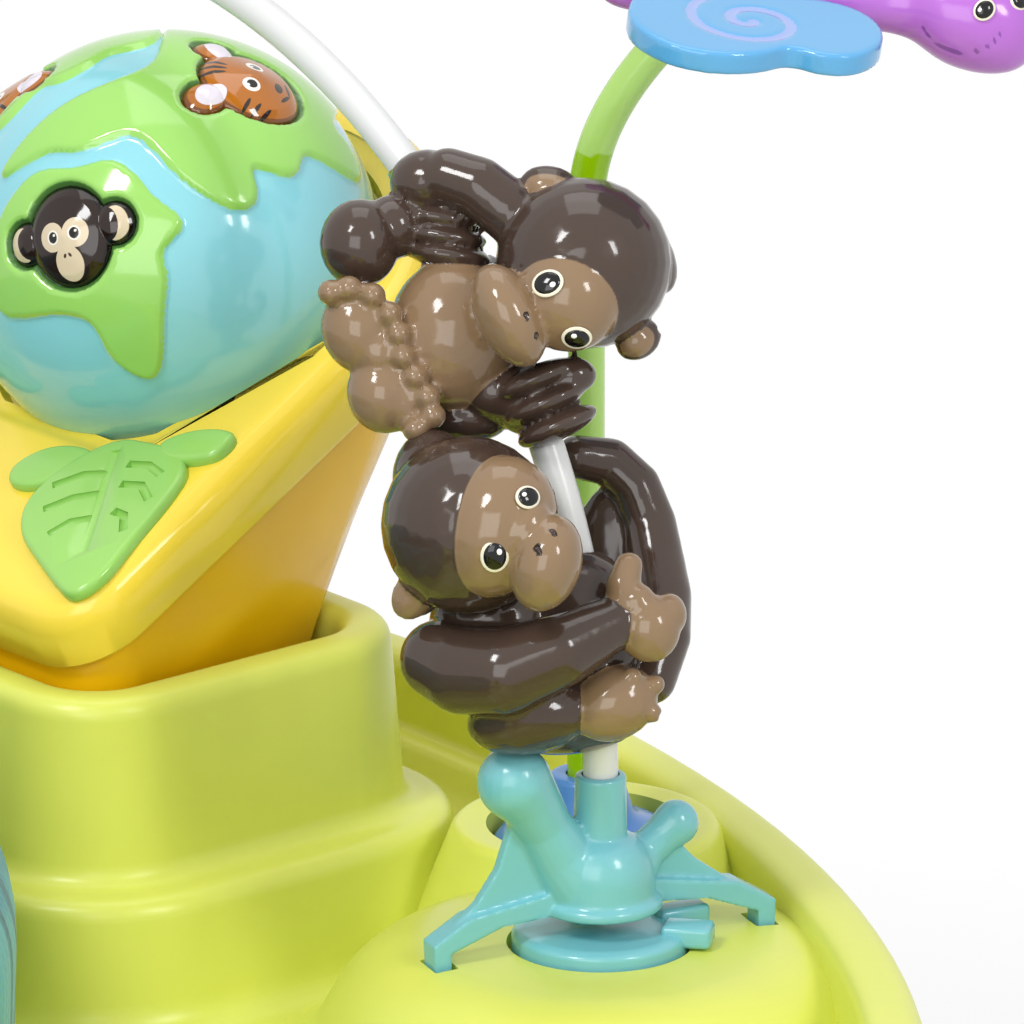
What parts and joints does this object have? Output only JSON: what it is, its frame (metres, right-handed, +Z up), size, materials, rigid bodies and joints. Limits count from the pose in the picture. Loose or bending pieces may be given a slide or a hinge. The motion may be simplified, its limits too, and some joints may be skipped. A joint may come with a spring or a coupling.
{
  "type": "activity jumper",
  "caption": "Baby activity jumper: a round toy tray on sprung legs in a dish base, with a turning padded seat, a globe console, a toy arch with climbing gorillas and a butterfly.",
  "frame": {"origin": "on the floor under the seat's turning axis", "axes": "+Z up; +Y the way the child faces, towards the console; +X the child's right"},
  "size_m": [0.774, 0.7941, 0.6412],
  "materials": {
    "lime_body": "satin blow-moulded polyethylene",
    "console_yellow": "gloss ABS",
    "console_amber": "gloss ABS",
    "latch_orange": "satin moulding",
    "ocean_blue": "gloss ABS",
    "leaf_green": "gloss ABS",
    "splash_teal": "gloss ABS",
    "arch_white": "gloss tube",
    "leg_white": "satin tube",
    "gorilla_brown": "gloss moulding",
    "button_brown": "gloss moulding",
    "button_amber": "translucent gloss moulding",
    "purple": "gloss moulding",
    "wing_blue": "gloss moulding",
    "toy_yellow": "gloss moulding",
    "seat_fabric": "printed padded cloth",
    "spring_steel": "bright wire",
    "dark_rubber": "matt rubber"
  },
  "bodies": {
    "base": {"base_dish": "lime_body", "foot_pad_a": "dark_rubber", "foot_pad_b": "dark_rubber", "foot_pad_c": "dark_rubber", "leg_spring_a": "spring_steel", "leg_spring_b": "spring_steel", "leg_spring_c": "spring_steel"},
    "legs": {"leg_post_a": "leg_white", "leg_post_b": "leg_white", "leg_post_c": "leg_white"},
    "tray_body": {"tray": "lime_body", "console_front": "console_yellow", "console_back": "console_amber", "battery_door": "console_amber", "globe_dome": "ocean_blue", "land_north": "leaf_green", "land_south": "leaf_green", "land_west": "leaf_green", "leaf_grille_left": "leaf_green", "leaf_grille_right": "leaf_green", "arch_tube": "arch_white", "splash_base_left": "splash_teal", "splash_base_right": "splash_teal", "butterfly_flange": "wing_blue", "butterfly_post": "leaf_green", "ring_post": "splash_teal", "sprout_stem": "leaf_green"},
    "seat": {"seat_ring": "splash_teal", "seat_collar": "seat_fabric", "seat_sling": "seat_fabric"},
    "roller_1": {"seat_roller_1": "dark_rubber"},
    "roller_2": {"seat_roller_2": "dark_rubber"},
    "roller_3": {"seat_roller_3": "dark_rubber"},
    "roller_4": {"seat_roller_4": "dark_rubber"},
    "roller_5": {"seat_roller_5": "dark_rubber"},
    "roller_6": {"seat_roller_6": "dark_rubber"},
    "latch_a": {"height_latch_a": "latch_orange"},
    "latch_b": {"height_latch_b": "latch_orange"},
    "latch_c": {"height_latch_c": "latch_orange"},
    "lock_right": {"turn_lock_right": "splash_teal"},
    "lock_left": {"turn_lock_left": "splash_teal"},
    "gorilla_low": {"gorilla_lower": "gorilla_brown"},
    "gorilla_up": {"gorilla_upper": "gorilla_brown"},
    "monkey": {"monkey_button": "button_brown"},
    "tiger": {"tiger_button": "button_amber"},
    "lion": {"lion_button": "button_amber"},
    "butterfly": {"butterfly_body": "purple"},
    "wing_near": {"butterfly_wing_near": "wing_blue"},
    "wing_far": {"butterfly_wing_far": "wing_blue"},
    "ring_1": {"spin_ring_1": "purple"},
    "ring_2": {"spin_ring_2": "wing_blue"},
    "ring_3": {"spin_ring_3": "toy_yellow"},
    "bloom": {"sprout_bloom": "toy_yellow"}
  },
  "joints": [
    {"name": "bounce", "type": "slide", "parent": "base", "child": "legs", "axis": [0, 0, 1], "range_m": [-0.03, 0], "stiffness_N_per_m": 6000, "springref_m": 0.025, "deforming": ["leg_spring_a", "leg_spring_b", "leg_spring_c"]},
    {"name": "height", "type": "slide", "parent": "legs", "child": "tray_body", "axis": [0, 0, 1], "range_m": [0, 0.076]},
    {"name": "seat_spin", "type": "hinge", "parent": "tray_body", "child": "seat", "pos_m": [0, 0, 0.4203], "axis": [0, 0, 1], "continuous": true},
    {"name": "roller_1_spin", "type": "hinge", "parent": "tray_body", "child": "roller_1", "pos_m": [0.192, 0, 0.415], "axis": [1, 0, 0], "continuous": true},
    {"name": "roller_2_spin", "type": "hinge", "parent": "tray_body", "child": "roller_2", "pos_m": [0.096, 0.16628, 0.415], "axis": [0.5, 0.866, 0], "continuous": true},
    {"name": "roller_3_spin", "type": "hinge", "parent": "tray_body", "child": "roller_3", "pos_m": [-0.096, 0.16628, 0.415], "axis": [-0.5, 0.866, 0], "continuous": true},
    {"name": "roller_4_spin", "type": "hinge", "parent": "tray_body", "child": "roller_4", "pos_m": [-0.192, 0, 0.415], "axis": [-1, 0, 0], "continuous": true},
    {"name": "roller_5_spin", "type": "hinge", "parent": "tray_body", "child": "roller_5", "pos_m": [-0.096, -0.16628, 0.415], "axis": [-0.5, -0.866, 0], "continuous": true},
    {"name": "roller_6_spin", "type": "hinge", "parent": "tray_body", "child": "roller_6", "pos_m": [0.096, -0.16628, 0.415], "axis": [0.5, -0.866, 0], "continuous": true},
    {"name": "latch_a_pull", "type": "slide", "parent": "tray_body", "child": "latch_a", "axis": [0.866, 0.5, 0], "range_m": [0, 0.004], "stiffness_N_per_m": 400, "springref_m": -0.003},
    {"name": "latch_b_pull", "type": "slide", "parent": "tray_body", "child": "latch_b", "axis": [-0.866, 0.5, 0], "range_m": [0, 0.004], "stiffness_N_per_m": 400, "springref_m": -0.003},
    {"name": "latch_c_pull", "type": "slide", "parent": "tray_body", "child": "latch_c", "axis": [0, -1, 0], "range_m": [0, 0.004], "stiffness_N_per_m": 400, "springref_m": -0.003},
    {"name": "lock_right_turn", "type": "hinge", "parent": "tray_body", "child": "lock_right", "pos_m": [0.146, 0.299, 0.455], "axis": [0, 0, 1], "range_deg": [0, 90]},
    {"name": "lock_left_turn", "type": "hinge", "parent": "tray_body", "child": "lock_left", "pos_m": [-0.146, 0.299, 0.455], "axis": [0, 0, 1], "range_deg": [0, 90]},
    {"name": "lower_gorilla_swing", "type": "hinge", "parent": "tray_body", "child": "gorilla_low", "pos_m": [0.1388, 0.299, 0.529], "axis": [-0.3049, 0, 0.9524], "range_deg": [-8, 8]},
    {"name": "upper_gorilla_swing", "type": "hinge", "parent": "tray_body", "child": "gorilla_up", "pos_m": [0.1082, 0.299, 0.58], "axis": [-0.699, 0, 0.7151], "range_deg": [-8, 8]},
    {"name": "monkey_press", "type": "slide", "parent": "tray_body", "child": "monkey", "axis": [-0.3662, 0.8729, -0.3224], "range_m": [0, 0.002], "stiffness_N_per_m": 150, "springref_m": -0.002},
    {"name": "tiger_press", "type": "slide", "parent": "tray_body", "child": "tiger", "axis": [-0.4494, -0.1221, -0.8849], "range_m": [0, 0.002], "stiffness_N_per_m": 150, "springref_m": -0.002},
    {"name": "lion_press", "type": "slide", "parent": "tray_body", "child": "lion", "axis": [0.6237, 0.4389, -0.6468], "range_m": [0, 0.002], "stiffness_N_per_m": 150, "springref_m": -0.002},
    {"name": "butterfly_spin", "type": "hinge", "parent": "tray_body", "child": "butterfly", "pos_m": [0.11057, 0.34879, 0.626], "axis": [0.4198, 0.5003, 0.7572], "continuous": true},
    {"name": "wing_near_flap", "type": "hinge", "parent": "butterfly", "child": "wing_near", "pos_m": [0.12449, 0.35278, 0.6345], "axis": [0.6428, 0.766, 0], "range_deg": [-30, 20]},
    {"name": "wing_far_flap", "type": "hinge", "parent": "butterfly", "child": "wing_far", "pos_m": [0.11208, 0.36319, 0.6345], "axis": [0.6428, 0.766, 0], "range_deg": [-20, 30]},
    {"name": "ring_1_spin", "type": "hinge", "parent": "tray_body", "child": "ring_1", "pos_m": [-0.099, 0.335, 0.4813], "axis": [0, 0, 1], "continuous": true},
    {"name": "ring_2_spin", "type": "hinge", "parent": "tray_body", "child": "ring_2", "pos_m": [-0.099, 0.335, 0.4999], "axis": [0, 0, 1], "continuous": true},
    {"name": "ring_3_spin", "type": "hinge", "parent": "tray_body", "child": "ring_3", "pos_m": [-0.099, 0.335, 0.5185], "axis": [0, 0, 1], "continuous": true},
    {"name": "bloom_spin", "type": "hinge", "parent": "tray_body", "child": "bloom", "pos_m": [0.26795, 0.06186, 0.481], "axis": [0, 0, 1], "continuous": true}
  ]
}
